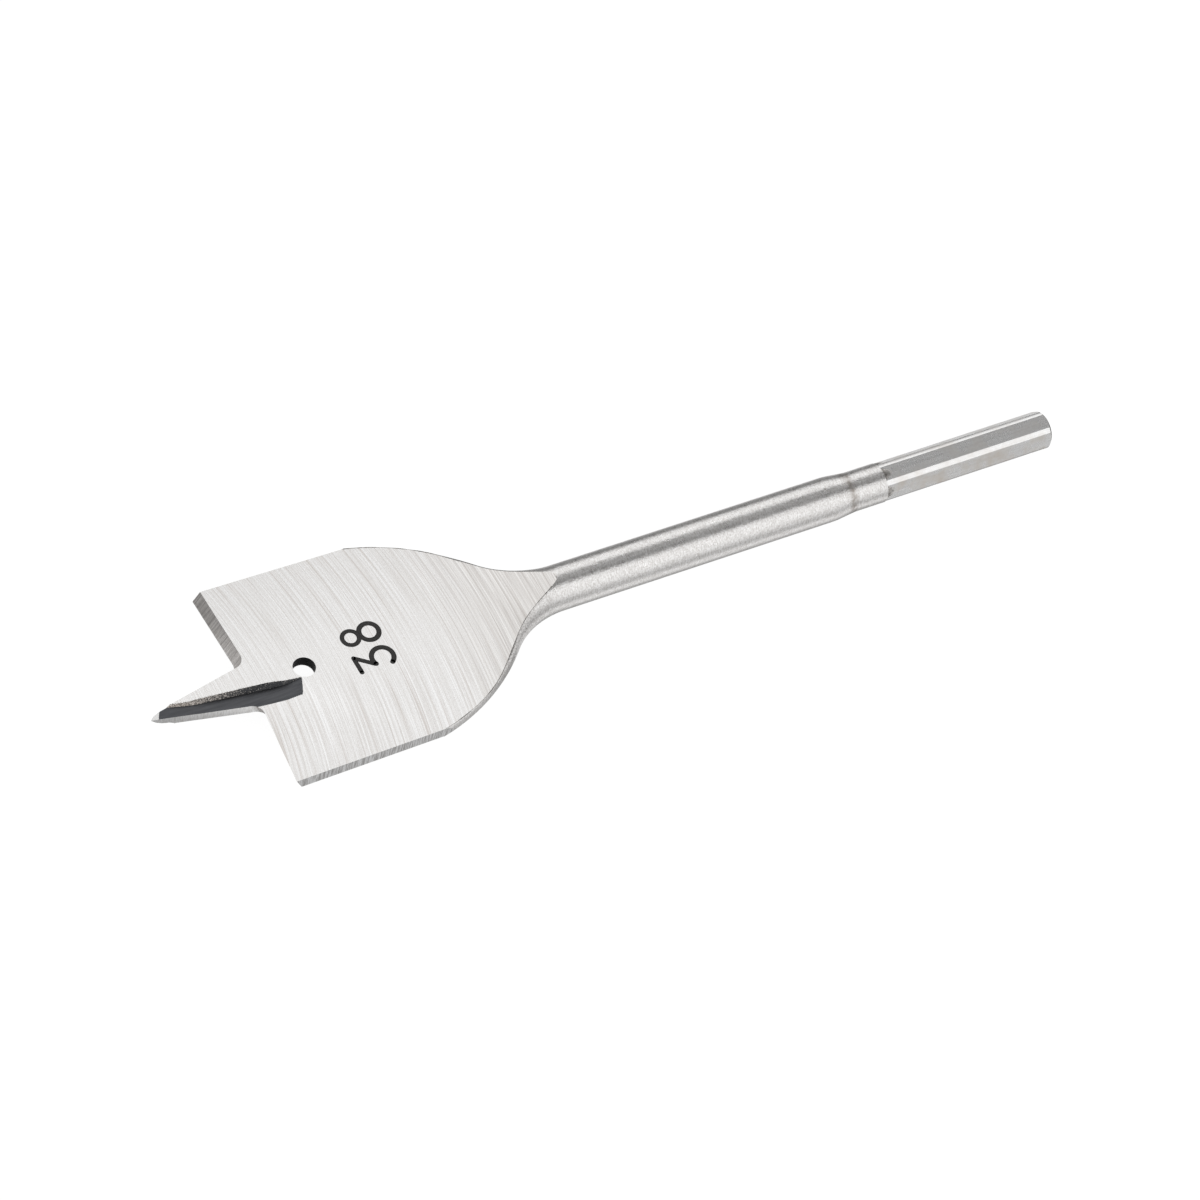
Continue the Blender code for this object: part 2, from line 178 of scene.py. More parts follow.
def blasted_steel():
    """Tool steel blasted with grit: grey and satin. Its pits, 0.1 mm wide, run together into short
    lines round the shank, drawn 0.2 mm wide so that they show, and sparkle. Furnace scale is left
    as a mottled, brownish ring by the collar and as dull specks on the neck's narrow sides."""
    material, tree, shader, place = new_metal("blasted_tool_steel")
    lines = stretched_noise(tree, place, (0.20 * MM, 0.75 * MM, 0.75 * MM), 2.0, 0.6)
    pits = noise(tree, place, 0.28 * MM, 2.0)
    clouds = noise(tree, place, 1.6 * MM, 3.0)
    grain = computed(tree, "ADD", lines, pits)
    shade = ranged(tree, grain, 0.76, 1.24)
    grey = mixed(tree, shade, colour("D9D6D3"), colour("FFFEFD"))
    along = axis(tree, place, "X")
    off_ring = computed(tree, "SUBTRACT", along, SCALE_RING_FROM_TIP - LENGTH)
    from_ring = computed(tree, "ABSOLUTE", off_ring)
    ring = ranged(tree, from_ring, 0.1 * MM, 1.2 * MM, 1.0, 0.0, ease="SMOOTHSTEP")
    flakes = noise(tree, place, 0.7 * MM, 3.0)
    patches = ranged(tree, flakes, 0.3, 0.7, 0.15, 1.0)
    patchy = computed(tree, "MULTIPLY", ring, patches)
    scaled = mixed(tree, patchy, grey, colour("ABA39C"))
    off_waist = computed(tree, "SUBTRACT", along, NECK_WAIST_FROM_TIP - LENGTH)
    from_waist = computed(tree, "ABSOLUTE", off_waist)
    waist = ranged(tree, from_waist, 2.0 * MM, 11.0 * MM, 0.75, 0.0, ease="SMOOTHSTEP")
    speckled = ranged(tree, pits, 0.35, 0.6, 1.0, 0.35)
    dull = computed(tree, "MULTIPLY", waist, speckled)
    dulled = mixed(tree, dull, scaled, colour("A5A2A0"))
    gloss = ranged(tree, clouds, 0.3, 0.7, 0.26, 0.34)
    relief = bump(tree, grain, 0.8, 0.036 * MM)
    feed(tree, shader, {"Base Color": dulled, "Roughness": gloss, "Normal": relief})
    return material


def run_out_steel():
    """Where the hex die stopped: a dark, mottled grey, which fades to bare steel where the flats
    begin."""
    material, tree, shader, place = new_metal("dark_mottled_run_out_steel")
    mottle = noise(tree, place, 0.5 * MM, 4.0)
    along = axis(tree, place, "X")
    from_collar = computed(tree, "ADD", along, HEX_LENGTH)
    ragged = computed(tree, "MULTIPLY_ADD", mottle, 0.9 * MM, from_collar)
    faded = ranged(tree, ragged, 0.9 * MM, 1.9 * MM, ease="SMOOTHSTEP")
    shade = ranged(tree, mottle, 0.35, 0.65)
    grey = mixed(tree, shade, colour("84817E"), colour("CBC7C3"))
    bare = mixed(tree, faded, grey, colour("ECEAE7"))
    relief = bump(tree, mottle, 0.4, 0.03 * MM)
    feed(tree, shader, {"Base Color": bare, "Normal": relief, "Roughness": 0.38})
    return material


def to_mesh(name, bm, *finishes):
    """The mesh of what was built, with its finishes."""
    mesh = bpy.data.meshes.new(name)
    bm.to_mesh(mesh)
    bm.free()
    for finish in finishes:
        mesh.materials.append(finish)
    return mesh


def loft(name, sections, finishes, finish_of=None):
    """A closed skin through rings of points, each with as many points as the next. finish_of gives
    the finish's number from the strip's place along the rings and round them."""
    bm = bmesh.new()
    rings = [[bm.verts.new(point) for point in section] for section in sections]
    for along, (ring, following) in enumerate(zip(rings, rings[1:])):
        for i in range(len(ring)):
            j = (i + 1) % len(ring)
            face = bm.faces.new((ring[i], ring[j], following[j], following[i]))
            face.material_index = finish_of(along, i) if finish_of else 0
    for ring in (rings[0], rings[-1]):
        bm.faces.new(ring).material_index = finish_of(0, 0) if finish_of else 0
    bmesh.ops.recalc_face_normals(bm, faces=bm.faces)
    return to_mesh(name, bm, *finishes)


def from_the_tip(name, mesh):
    """An object whose mesh is measured from the tip, placed so that the hex end's face is at x = 0."""
    made = bpy.data.objects.new(name, mesh)
    made.location.x = -LENGTH
    bpy.context.scene.collection.objects.link(made)
    return made


def neck_outline():
    """Half-widths of the forging as (from the tip, half-width): an arc that bends in at the
    shoulder, then an arc that bends out to run into the shank."""
    drop = SHOULDER_HALF_WIDTH - SHANK_RADIUS
    reach = SHOULDER_RADIUS * cos(SHOULDER_ANGLE) + NECK_RADIUS - drop
    steepest = acos(reach / (SHOULDER_RADIUS + NECK_RADIUS))
    points = []
    for i in range(ARC_STEPS + 1):
        angle = SHOULDER_ANGLE + (steepest - SHOULDER_ANGLE) * i / ARC_STEPS
        along = SHOULDER_FROM_TIP + SHOULDER_RADIUS * (sin(angle) - sin(SHOULDER_ANGLE))
        inward = SHOULDER_RADIUS * (cos(SHOULDER_ANGLE) - cos(angle))
        points.append((along, SHOULDER_HALF_WIDTH - inward))
    end = points[-1][0] + NECK_RADIUS * sin(steepest)
    for i in range(1, ARC_STEPS + 1):
        angle = steepest * (1 - i / ARC_STEPS)
        points.append((end - NECK_RADIUS * sin(angle), SHANK_RADIUS + NECK_RADIUS * (1 - cos(angle))))
    return points


def smooth(step):
    """A way from 0 to 1 that starts and ends level."""
    return step * step * (3 - 2 * step)


def forged_ring(from_tip, half_width, half_thickness):
    """A flat-sided ring with round ends, which is a circle where width and thickness are equal."""
    straight = half_width - half_thickness
    radius = half_thickness / cos(pi / ROUND_STEPS)
    ring = []
    for i in range(ROUND_STEPS):
        angle = 2 * pi * (i + 0.5) / ROUND_STEPS
        shift = straight if cos(angle) > 0 else -straight
        ring.append(Vector((from_tip, shift + radius * cos(angle), radius * sin(angle))))
    return ring


outline = neck_outline()
neck_end = outline[-1][0]
half_forged = FORGED_THICKNESS / 2
ahead_of_shoulder = (SHOULDER_FROM_TIP + CLEAR) * tan(SHOULDER_ANGLE)
blank_rings = [forged_ring(-CLEAR, SHOULDER_HALF_WIDTH + ahead_of_shoulder, half_forged)]
for from_tip, half_width in outline:
    step = (from_tip - (neck_end - ROUND_BEFORE_NECK_END)) / THICKENING_LENGTH + 1
    half_thickness = half_forged + (SHANK_RADIUS - half_forged) * smooth(min(max(step, 0), 1))
    blank_rings.append(forged_ring(from_tip, half_width, half_thickness))
for i in range(TAPER_STEPS + 1):
    radius = SHANK_RADIUS + (COLLAR_RADIUS - SHANK_RADIUS) * smooth(i / TAPER_STEPS)
    blank_rings.append(forged_ring(SHANK_END + SHANK_TAPER_LENGTH * i / TAPER_STEPS, radius, radius))
flat = HEX_ACROSS_FLATS / 2
run_out_start = COLLAR_RADIUS - COLLAR_EDGE
run_out_slope = (run_out_start - flat) / HEX_RUN_OUT
collar_rings = len(blank_rings)
for from_tip, radius in (
    (COLLAR_END - COLLAR_EDGE, COLLAR_RADIUS),
    (COLLAR_END, run_out_start),
    (COLLAR_END + 1.5 * HEX_RUN_OUT, flat - run_out_slope * HEX_RUN_OUT / 2),
):
    blank_rings.append(forged_ring(from_tip, radius, radius))
blank = loft(
    "forged_blank",
    blank_rings,
    [blasted_steel(), run_out_steel()],
    lambda along, around: 1 if along > collar_rings else 0,
)
bit = from_the_tip("bit", blank)


def cut(cutter, operation):
    """Adds a cut to the bit. The cut surface takes the finish of the tool that makes it."""
    modifier = bit.modifiers.new(cutter.name, "BOOLEAN")
    modifier.operation = operation
    modifier.solver = "EXACT"
    modifier.material_mode = "TRANSFER"
    modifier.object = cutter


# The point
# Four small facets, honed on a fine wheel, bring the spur to a sharp tip. They are the brightest
# steel on the bit.
NOSE_LENGTH = 3.4 * MM
TIP_SIDE_SLOPE = 0.75
TIP_LEADING_SLOPE = 0.84
TIP_TRAILING_SLOPE = 0.30
TIP_BLUNT = 0.03 * MM
FACETS_PAST_NOSE = 0.6
MARKS_SLANT = radians(-38)
POINT_BLOCK_FROM_TIP = (1 + FACETS_PAST_NOSE) * NOSE_LENGTH


def coarse_ground_steel(name, dark, light, roughness, along):
    """Steel off a coarse wheel: marks 0.1 mm wide, drawn 0.14 mm wide so that they show, which run
    on for so far along the bit."""
    material, tree, shader, place = new_metal(name)
    marks = stretched_noise(tree, place, (along, 0.14 * MM, 5.0 * MM), 2.0, turn=MARKS_SLANT)
    specks = noise(tree, place, 0.25 * MM, 2.0)
    both = computed(tree, "MULTIPLY_ADD", specks, 0.35, marks)
    shade = ranged(tree, both, 0.48, 0.87)
    grey = mixed(tree, shade, colour(dark), colour(light))
    relief = bump(tree, marks, 0.4, 0.015 * MM)
    feed(tree, shader, {"Base Color": grey, "Normal": relief, "Roughness": roughness})
    return material


honed_finish = coarse_ground_steel("honed_point_steel", "F4F3F1", "FFFFFF", 0.25, 1.0 * MM)
corners = ((-1, 1), (1, 1), (1, -1), (-1, -1))
slopes = (
    (-TIP_SIDE_SLOPE, TIP_LEADING_SLOPE),
    (TIP_SIDE_SLOPE, TIP_TRAILING_SLOPE),
    (TIP_SIDE_SLOPE, -TIP_LEADING_SLOPE),
    (-TIP_SIDE_SLOPE, -TIP_TRAILING_SLOPE),
)
point_rings = []
for from_tip, size, ways in (
    (0, TIP_BLUNT, corners),
    (POINT_BLOCK_FROM_TIP, POINT_BLOCK_FROM_TIP, slopes),
    (POINT_BLOCK_FROM_TIP, CUTTING_DIAMETER, corners),
    (LENGTH + CLEAR, CUTTING_DIAMETER, corners),
):
    point_rings.append([Vector((from_tip, size * y, size * z)) for y, z in ways])
cut(from_the_tip("point_facets", loft("point_facets", point_rings, [honed_finish])), "INTERSECT")


# The ground faces
# Both faces of the blade and the rise behind them are ground flat on a cup wheel, whose rim leaves
# fine arcs right across the blade. The steel stays bright there, with hairlines lighter and darker,
# and the rise is drawn darker and warmer as painted shade.
BLADE_THICKNESS = 2.1 * MM
RISE_LENGTH = 20.2 * MM
RISE_END_BEFORE_NECK_END = 0.7 * MM
RISE_START_HANDLE = 5.65 * MM
RISE_END_HANDLE = 7.1 * MM
RISE_END_SLOPE = 0.14
RISE_STEPS = 80
WHEEL_RADIUS = 85.0 * MM
WHEEL_MARKS_FROM_TIP = 25.0 * MM
# A step in the noise from one face to the other, so that their marks differ
FACES_APART = 37.0
# Painted shade on the rise: where it begins and where it is full, from the tip
RISE_SHADE_FROM_TIP = 44.0 * MM
RISE_SHADE_FULL_FROM_TIP = 64.0 * MM
HALF_THICKNESS = BLADE_THICKNESS / 2
SLIVER = 0.001 * MM


def plate(name, points, depth, finish):
    """A flat outline in local XY, thickened by depth to each side."""
    curve = bpy.data.curves.new(name, "CURVE")
    curve.dimensions = "2D"
    curve.fill_mode = "BOTH"
    curve.extrude = depth
    spline = curve.splines.new("POLY")
    spline.points.add(len(points) - 1)
    for point, (x, y) in zip(spline.points, points):
        point.co = (x, y, 0, 1)
    spline.use_cyclic_u = True
    drawn = from_the_tip(name, curve)
    mesh = bpy.data.meshes.new_from_object(drawn.evaluated_get(bpy.context.evaluated_depsgraph_get()))
    bpy.data.objects.remove(drawn, do_unlink=True)
    bm = bmesh.new()
    bm.from_mesh(mesh)
    bmesh.ops.remove_doubles(bm, verts=bm.verts, dist=SLIVER)
    bmesh.ops.recalc_face_normals(bm, faces=bm.faces)
    bm.to_mesh(mesh)
    bm.free()
    mesh.materials.clear()
    mesh.materials.append(finish)
    return mesh


def from_wheel_centre(tree, place):
    """The way from the wheel's centre to a place on the face, which crosses its marks squarely."""
    centre = WHEEL_MARKS_FROM_TIP - WHEEL_RADIUS - LENGTH
    level = add_node(tree, "ShaderNodeVectorMath", {0: place, 1: (1.0, 1.0, 0.0)}, operation="MULTIPLY")
    return add_node(tree, "ShaderNodeVectorMath", {
        0: level.outputs[0], 1: (centre, 0.0, 0.0),
    }, operation="SUBTRACT").outputs[0]


def wheel_marks(tree, place, width, length, detail):
    """Noise drawn out into arcs about the wheel's centre: width across them, length along them."""
    spoke = from_wheel_centre(tree, place)
    radius = add_node(tree, "ShaderNodeVectorMath", {0: spoke}, operation="LENGTH")
    ends = add_node(tree, "ShaderNodeSeparateXYZ", {"Vector": spoke})
    angle = computed(tree, "ARCTAN2", ends.outputs["Y"], ends.outputs["X"])
    across = computed(tree, "DIVIDE", radius.outputs["Value"], width)
    along = computed(tree, "DIVIDE", angle, length / WHEEL_RADIUS)
    height = axis(tree, place, "Z")
    face = computed(tree, "GREATER_THAN", height, 0.0)
    apart = computed(tree, "MULTIPLY", face, FACES_APART)
    drawn = add_node(tree, "ShaderNodeCombineXYZ", {"X": across, "Y": along, "Z": apart})
    return add_node(tree, "ShaderNodeTexNoise", {
        "Vector": drawn.outputs[0], "Scale": 1.0, "Detail": detail, "Roughness": 0.6,
    }).outputs["Fac"]


def ground_face_steel():
    """Hardened steel fresh from the cup wheel: light grey with hairlines, which are 0.02 to 0.1 mm
    wide on the real blade and are drawn 0.12 mm wide so that they show, a few deeper scratches that
    keep a brownish tint, and pits that the wheel didn't reach. The hairlines throw light across
    themselves, so the gloss is drawn out along the way from the wheel's centre."""
    material, tree, shader, place = new_metal("ground_face_steel")
    hairlines = wheel_marks(tree, place, 0.12 * MM, 30.0 * MM, 1.0)
    fine_lines = wheel_marks(tree, place, 0.24 * MM, 20.0 * MM, 1.0)
    scratches = wheel_marks(tree, place, 0.33 * MM, 34.0 * MM, 1.0)
    both = computed(tree, "ADD", hairlines, fine_lines)
    grain = noise(tree, place, 0.16 * MM, 1.0)
    grained = computed(tree, "MULTIPLY_ADD", grain, 0.5, both)
    shade = ranged(tree, grained, 0.93, 1.57)
    grey = mixed(tree, shade, colour("DBD8D5"), colour("FFFFFF"))
    deep = ranged(tree, scratches, 0.58, 0.72, 0.0, 0.45)
    scratched = mixed(tree, deep, grey, colour("BBAFA6"))
    pits = noise(tree, place, 0.35 * MM, 2.0)
    pitted = ranged(tree, pits, 0.62, 0.75, 0.0, 0.2)
    with_pits = mixed(tree, pitted, scratched, colour("B4AFAA"))
    along = axis(tree, place, "X")
    # Painted shade: over the rise, where the face curves up into the shank, a darker, warmer grey with
    # coarse marks is mixed in.
    rise_shade_share = ranged(
        tree, along, RISE_SHADE_FROM_TIP - LENGTH, RISE_SHADE_FULL_FROM_TIP - LENGTH, 0.0, 0.6, ease="SMOOTHSTEP",
    )
    wide_marks = wheel_marks(tree, place, 0.32 * MM, 16.0 * MM, 2.0)
    wide_shade = ranged(tree, wide_marks, 0.34, 0.66)
    rise_shade_grey = mixed(tree, wide_shade, colour("B6AEA8"), colour("FFFDFA"))
    with_rise_shade = mixed(tree, rise_shade_share, with_pits, rise_shade_grey)
    gloss = ranged(tree, both, 0.74, 1.26, 0.20, 0.28)
    relief = bump(tree, both, 0.5, 0.010 * MM)
    feed(tree, shader, {
        "Base Color": with_rise_shade, "Roughness": gloss, "Normal": relief, "Anisotropic": 0.95,
        "Tangent": from_wheel_centre(tree, place),
    })
    return material


rise_end = neck_end - RISE_END_BEFORE_NECK_END
rise_start = rise_end - RISE_LENGTH
rise = interpolate_bezier(
    Vector((rise_start, HALF_THICKNESS, 0)),
    Vector((rise_start + RISE_START_HANDLE, HALF_THICKNESS, 0)),
    Vector((rise_end - RISE_END_HANDLE, SHANK_RADIUS - RISE_END_HANDLE * RISE_END_SLOPE, 0)),
    Vector((rise_end, SHANK_RADIUS, 0)),
    RISE_STEPS,
)
above_shank = SHANK_RADIUS + RISE_END_HANDLE * RISE_END_SLOPE
upper = [(-2 * CLEAR, HALF_THICKNESS)]
upper += [(point.x, point.y) for point in rise]
upper += [(rise_end + RISE_END_HANDLE, above_shank), (LENGTH + CLEAR, above_shank)]
lower = [(x, -z) for x, z in reversed(upper)]
ground_finish = ground_face_steel()
between_wheels = plate("ground_faces", upper + lower, CUTTING_DIAMETER, ground_finish)
envelope = from_the_tip("ground_faces", between_wheels)
envelope.rotation_euler.x = pi / 2
cut(envelope, "INTERSECT")


# The wing sides
# Each side of the blade is ground from the lip's corner past the shoulder, so that the bit clears
# its hole. A belt running across the edge leaves it mid grey, with short marks across it.
CUTTER_HEIGHT = 4 * BLADE_THICKNESS


def ground_side_steel():
    """Belt-ground steel: marks 0.05 mm wide, drawn 0.18 mm wide so that they show."""
    material, tree, shader, place = new_metal("belt_ground_edge_steel")
    marks = stretched_noise(tree, place, (0.18 * MM, 2.0 * MM, 3.0 * MM), 3.0)
    shade = ranged(tree, marks, 0.38, 0.60)
    grey = mixed(tree, shade, colour("C4C2C0"), colour("FFFFFF"))
    relief = bump(tree, marks, 0.4, 0.015 * MM)
    feed(tree, shader, {"Base Color": grey, "Normal": relief, "Roughness": 0.38})
    return material


side_finish = ground_side_steel()
for hand in (1, -1):
    bm = bmesh.new()
    bmesh.ops.create_cube(bm, size=1)
    bmesh.ops.scale(bm, verts=bm.verts, vec=(2 * SHOULDER_FROM_TIP, CUTTING_DIAMETER, CUTTER_HEIGHT))
    bmesh.ops.translate(bm, verts=bm.verts, vec=(0, hand * CUTTING_DIAMETER / 2, 0))
    bmesh.ops.rotate(bm, verts=bm.verts, matrix=Matrix.Rotation(-hand * SIDE_TAPER, 3, "Z"))
    bmesh.ops.translate(bm, verts=bm.verts, vec=(POINT_LENGTH, hand * CUTTING_DIAMETER / 2, 0))
    grind = to_mesh("side_grind", bm, side_finish)
    cut(from_the_tip("side_grind_right" if hand > 0 else "side_grind_left", grind), "DIFFERENCE")


# The lips and the spur
# The front is pressed out and then ground at a slope behind each cutting lip. The coarse wheel
# leaves slanting marks on both. The lips are drawn a darker grey as painted shade, and the spur's
# narrow sides a lighter grey as painted light.
LIP_SLOPE = radians(3.5)
LIP_RELIEF = radians(27.6)
SPUR_ROOT_WIDTH = 7.6 * MM
SPUR_TAPER = radians(11.75)
SPUR_RELIEF = radians(4.6)
ROOT_FILLET = 2.0 * MM
FILLET_STEPS = 24
SPUR_FINISH_STEPS = 7


def tangent_arc(line_a, line_b, radius, steps):
    """Points of the arc of this radius that touches two lines, each a point and the unit normal
    towards the arc's centre, from the first line to the second."""
    (point_a, normal_a), (point_b, normal_b) = line_a, line_b
    along_a = point_a.dot(normal_a) + radius
    along_b = point_b.dot(normal_b) + radius
    cross = normal_a.x * normal_b.y - normal_a.y * normal_b.x
    centre = Vector((
        (along_a * normal_b.y - along_b * normal_a.y) / cross,
        (along_b * normal_a.x - along_a * normal_b.x) / cross,
    ))
    sweep = normal_a.angle_signed(normal_b)
    points = []
    for i in range(steps + 1):
        points.append(centre - radius * (Matrix.Rotation(-sweep * i / steps, 2) @ normal_a))
    return points


def front_outline(back):
    """The outline ahead of the +Y lip, at a height of back above its cutting edge."""
    lip_along = Vector((-tan(LIP_SLOPE), 1)).normalized()
    lip_point = Vector((POINT_LENGTH + back * tan(LIP_RELIEF), CUTTING_DIAMETER / 2))
    lip_normal = Vector((-lip_along.y, lip_along.x))
    side_along = Vector((1, tan(SPUR_TAPER))).normalized()
    side_point = Vector((POINT_LENGTH, SPUR_ROOT_WIDTH / 2 - back * tan(SPUR_RELIEF)))
    side_normal = Vector((-side_along.y, side_along.x))
    root = tangent_arc((side_point, side_normal), (lip_point, lip_normal), ROOT_FILLET, FILLET_STEPS)
    nose_y = side_point.y + (NOSE_LENGTH - side_point.x) * tan(SPUR_TAPER)
    ahead_y = side_point.y + (-CLEAR - side_point.x) * tan(SPUR_TAPER)
    trailing = back / BLADE_THICKNESS
    front_y = ahead_y * (1 - trailing) - nose_y * CLEAR / NOSE_LENGTH * trailing
    outside = CUTTING_DIAMETER / 2 + CLEAR
    outer = lip_point + lip_along * (outside - lip_point.y) / lip_along.y
    spur = [Vector((-CLEAR, front_y)), Vector((NOSE_LENGTH, nose_y))]
    return [*spur, *root, outer, Vector((-CLEAR, outside))]


# Painted shade and light: one wheel ground both, but the lips take a darker grey and the spur's sides a
# lighter one.
shaded_lip_finish = coarse_ground_steel("coarse_ground_lip_steel_painted_shade", "BBB7B4", "F9F5F2", 0.42, 3.0 * MM)
lit_spur_finish = coarse_ground_steel("coarse_ground_spur_steel_painted_light", "E4E2E0", "FFFFFF", 0.36, 0.2 * MM)
half_turn = Matrix.Rotation(pi, 3, "X")
for name, turn in (("front_right", Matrix.Identity(3)), ("front_left", half_turn)):
    sections = []
    for back in (-FACE_CLEAR, 0, BLADE_THICKNESS, BLADE_THICKNESS + FACE_CLEAR):
        ring = [Vector((point.x, point.y, back - HALF_THICKNESS)) for point in front_outline(back)]
        sections.append([turn @ point for point in ring])
    front = loft(
        name, sections, [lit_spur_finish, shaded_lip_finish],
        lambda along, around: 1 if around > SPUR_FINISH_STEPS else 0,
    )
    cut(from_the_tip(name, front), "DIFFERENCE")


# The flutes
# One flute is pressed into each face along the spur's leading edge while the steel is hot: a steep
# wall down to a crease, and a floor that rises from it. The blue-black scale stays in it, and the
# wall is drawn darker than the floor as painted shade.
FLUTE_LENGTH = 25.0 * MM
FLUTE_RUN_OUT = 5.8 * MM
FLUTE_DEPTH = 0.85 * MM
FLUTE_TIP_DEPTH = 0.37 * MM
FLUTE_WIDTH = 3.25 * MM
FLUTE_WALL_SLOPE = 0.75
FLUTE_CREASE_AT_NOSE = 0.85 * MM
FLUTE_CREASE_AHEAD = 0.15 * MM
FLUTE_CREASE_BEHIND = -1.22 * MM
FLUTE_CREASE_AT_END = -1.65 * MM
FLUTE_END_SLANT = 0.33
FLUTE_NARROWS_OVER = 0.18
FLUTE_NARROW_DEPTH = 0.3
FLUTE_RUN_OUT_CURVE = 1.6
FLUTE_RUN_OUT_NARROWING = 0.12
FLUTE_END_LIFT = 0.05
FLUTE_FLOOR_OVERRUN = 1.3
FLUTE_STEPS = 8
FLUTE_FLOOR_STEPS = 4
SCALE_TORN_TO = 17.0 * MM


def scaled_flute_steel(name, dark, light, torn_to=0.0):
    """Pressed steel under its heat scale: dark blue-grey with a dull sheen and soft streaks along it.
    From the tip as far as torn_to, grinding has torn the scale off in flecks, which leaves bright
    and brownish steel."""
    material, tree, shader, place = new_metal(name)
    streaks = stretched_noise(tree, place, (5.0 * MM, 0.5 * MM, 0.5 * MM), 4.0)
    shade = ranged(tree, streaks, 0.3, 0.7)
    grey = mixed(tree, shade, colour(dark), colour(light))
    relief = bump(tree, streaks, 0.3, 0.02 * MM)
    skin = grey
    if torn_to:
        flecks = noise(tree, place, 0.17 * MM, 3.0, 0.6)
        along = axis(tree, place, "X")
        fewer = ranged(tree, along, 0.2 * torn_to - LENGTH, torn_to - LENGTH, 0.28, 0.62)
        over = computed(tree, "SUBTRACT", flecks, fewer)
        torn = ranged(tree, over, -0.04, 0.16, 0.0, 0.9)
        tint = ranged(tree, flecks, 0.42, 0.62)
        bright = mixed(tree, tint, colour("8E847C"), colour("E6DFD8"))
        flecked = mixed(tree, torn, skin, bright)
        skin = flecked
    feed(tree, shader, {"Base Color": skin, "Normal": relief, "Roughness": 0.4})
    return material


def flute_ring(from_tip, crease, depth, width):
    """One section: up the wall, along the lid, and back down the floor to the crease."""
    lid = HALF_THICKNESS + CLEAR
    bottom = HALF_THICKNESS - depth
    wall_top = Vector((from_tip, crease + FLUTE_WALL_SLOPE * (lid - bottom), lid))
    floor = []
    for i in range(FLUTE_FLOOR_STEPS + 1):
        across = FLUTE_FLOOR_OVERRUN * FLUTE_WIDTH * i / FLUTE_FLOOR_STEPS
        rise = depth * across / width if depth > 0 else 0
        floor.append(Vector((from_tip - FLUTE_END_SLANT * across, crease - across, bottom + rise)))
    lid_end = Vector((floor[-1].x, floor[-1].y, lid))
    return [wall_top, *floor, lid_end]


deepest = FLUTE_LENGTH - FLUTE_RUN_OUT
flute_ahead = NOSE_LENGTH + FLUTE_NARROWS_OVER * (deepest - NOSE_LENGTH)
ahead_depth = FLUTE_TIP_DEPTH + FLUTE_NARROW_DEPTH * (FLUTE_DEPTH - FLUTE_TIP_DEPTH)
flute_start = FLUTE_CREASE_AT_NOSE + (FLUTE_CREASE_AT_NOSE - FLUTE_CREASE_AHEAD)
flute_rings = [
    flute_ring(-CLEAR, flute_start, FLUTE_TIP_DEPTH, 2 * FLUTE_WIDTH),
    flute_ring(NOSE_LENGTH, FLUTE_CREASE_AT_NOSE, FLUTE_TIP_DEPTH, 2 * FLUTE_WIDTH),
]
for i in range(FLUTE_STEPS + 1):
    share = i / FLUTE_STEPS
    crease = FLUTE_CREASE_AHEAD + (FLUTE_CREASE_BEHIND - FLUTE_CREASE_AHEAD) * share
    depth = ahead_depth + (FLUTE_DEPTH - ahead_depth) * sqrt(share)
    from_tip = flute_ahead + (deepest - flute_ahead) * share
    flute_rings.append(flute_ring(from_tip, crease, depth, FLUTE_WIDTH))
for i in range(1, 2 * FLUTE_STEPS + 1):
    share = i / (2 * FLUTE_STEPS)
    crease = FLUTE_CREASE_BEHIND + (FLUTE_CREASE_AT_END - FLUTE_CREASE_BEHIND) * min(2 * share, 1)
    depth = FLUTE_DEPTH * (1 - share ** FLUTE_RUN_OUT_CURVE)
    width = FLUTE_WIDTH * (1 - FLUTE_RUN_OUT_NARROWING * share)
    if i == 2 * FLUTE_STEPS:
        depth = -FLUTE_END_LIFT * FLUTE_DEPTH
    flute_rings.append(flute_ring(deepest + FLUTE_RUN_OUT * share, crease, depth, width))
floor_finish = scaled_flute_steel("scaled_flute_steel", "505154", "616265")
# Painted shade: the wall takes the same scale as the floor, drawn darker; its torn flecks are real wear.
shaded_wall_finish = scaled_flute_steel("scaled_flute_wall_steel_painted_shade", "363739", "4C4D4F", SCALE_TORN_TO)
for name, turn in (("flute_upper", Matrix.Identity(3)), ("flute_lower", half_turn)):
    sections = [[turn @ point for point in ring] for ring in flute_rings]
    flute = loft(
        name, sections, [floor_finish, shaded_wall_finish], lambda along, around: 1 if around == 0 else 0,
    )
    cut(from_the_tip(name, flute), "DIFFERENCE")


# The hanging hole
# Punched through the blade beside the flute before hardening, so its wall is as black as the
# furnace left it, with a duller grey where the punch rubbed.
HOLE_DIAMETER = 3.7 * MM
HOLE_FROM_TIP = 26.1 * MM
HOLE_STEPS = 64
hole_finish = scaled_flute_steel("furnace_black_hole_steel", "161616", "3A3A3A")
bm = bmesh.new()
bmesh.ops.create_cone(
    bm,
    cap_ends=True,
    segments=HOLE_STEPS,
    radius1=HOLE_DIAMETER / 2,
    radius2=HOLE_DIAMETER / 2,
    depth=CUTTER_HEIGHT,
)
hole_cutter = from_the_tip("hanging_hole", to_mesh("hanging_hole", bm, hole_finish))
hole_cutter.location.x += HOLE_FROM_TIP
cut(hole_cutter, "DIFFERENCE")


# The hex end
# The drive end is drawn cold to a hexagon, which leaves it smooth, with flats that mirror the room
# softly. The die rounds its corners, and the end is cut off and chamfered.
HEX_TURN = radians(10.3)
HEX_CORNER_CLEARANCE = 0.02 * MM
END_CHAMFER = 0.45 * MM


